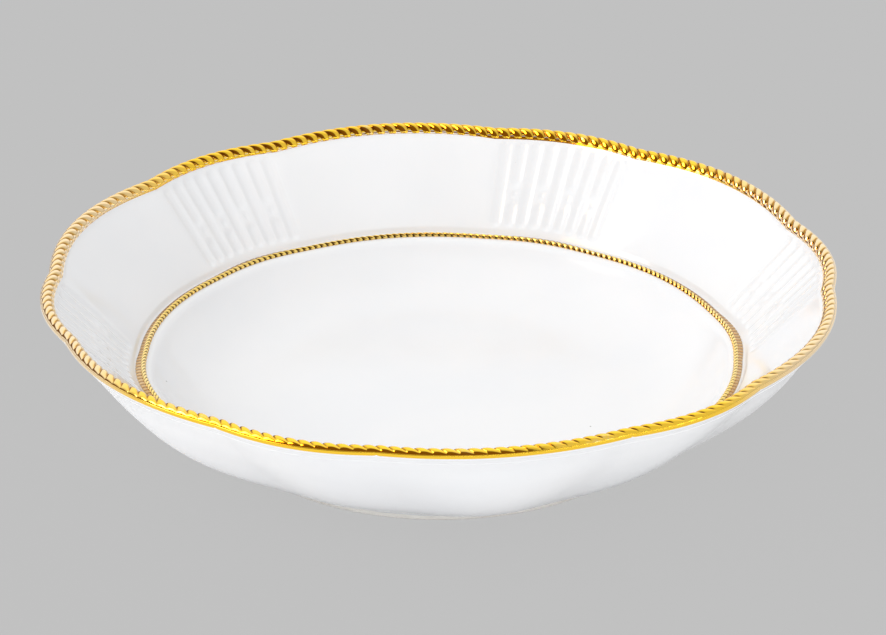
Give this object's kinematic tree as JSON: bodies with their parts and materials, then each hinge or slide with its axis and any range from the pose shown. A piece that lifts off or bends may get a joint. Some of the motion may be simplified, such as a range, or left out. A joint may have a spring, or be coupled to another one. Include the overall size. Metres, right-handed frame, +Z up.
{
  "type": "serving bowl",
  "caption": "Round shallow porcelain serving bowl with a scalloped gilded rope rim, alternating fluted and plain panels inside, a gilded rope round the well and a low foot ring.",
  "frame": {"origin": "centre of the circle that the foot ring stands on, at the bottom of the bowl", "axes": "+Z up along the bowl's axis; +X through the middle of a fluted panel; +Y completes a right-handed frame, through the middle of a plain panel"},
  "size_m": [0.3066, 0.3066, 0.0638],
  "materials": {
    "glazed_porcelain": "clear high-gloss glaze over white porcelain",
    "bare_porcelain": "glazed sides with a bare, slightly stained bearing edge",
    "gilding": "porcelain moulding covered by burnished fired gilding, a bright yellow metal film",
    "pale_gilding": "porcelain moulding covered by thin fired gilding, a paler and more rubbed metal film"
  },
  "bodies": {
    "root": {"bowl_body": "glazed_porcelain", "foot_ring": "bare_porcelain", "rim_band": "gilding", "rim_rope": "gilding", "well_band": "pale_gilding", "well_rope": "pale_gilding"}
  },
  "joints": []
}
